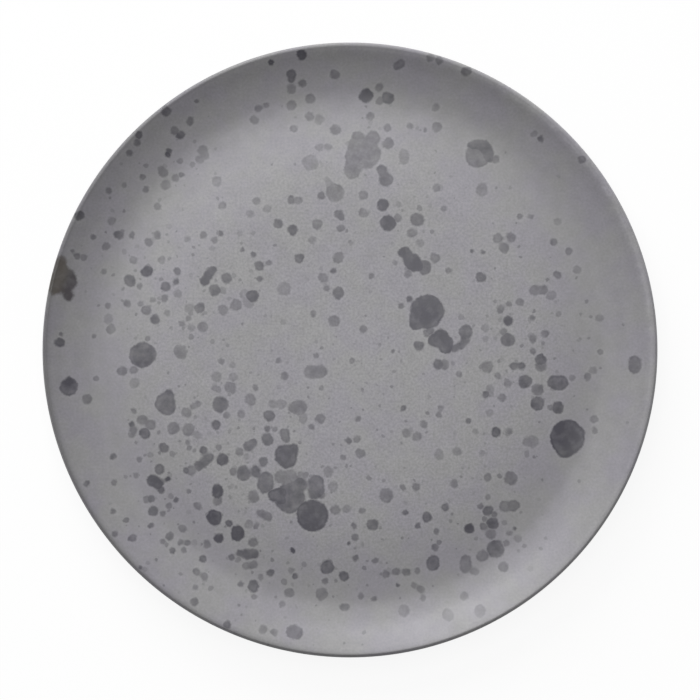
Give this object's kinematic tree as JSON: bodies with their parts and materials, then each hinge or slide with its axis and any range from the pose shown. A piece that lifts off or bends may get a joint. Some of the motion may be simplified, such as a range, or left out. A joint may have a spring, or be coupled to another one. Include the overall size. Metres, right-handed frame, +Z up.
{
  "type": "lunch plate",
  "caption": "Round coupe plate of glazed stoneware with a gently domed floor, a low curved wall, a rounded lip and a bare foot ring, for serving a meal.",
  "frame": {"origin": "on the plate's axis, in the plane that the foot ring stands on", "axes": "+Z up along the plate's axis, out of the eating face; +X to the right and +Y to the top of the picture"},
  "size_m": [0.22, 0.22, 0.0168],
  "materials": {
    "bare_clay": "bare fired stoneware, dry and slightly sandy",
    "face_glaze": "satin cool grey glaze with dark grey spatter drops",
    "back_glaze": "satin cool grey glaze with fine specks",
    "well_glaze": "satin pale grey glaze with fine specks"
  },
  "bodies": {
    "root": {"stoneware_body": "bare_clay", "face_glaze": "face_glaze", "underside_glaze": "back_glaze", "foot_well_glaze": "well_glaze"}
  },
  "joints": []
}
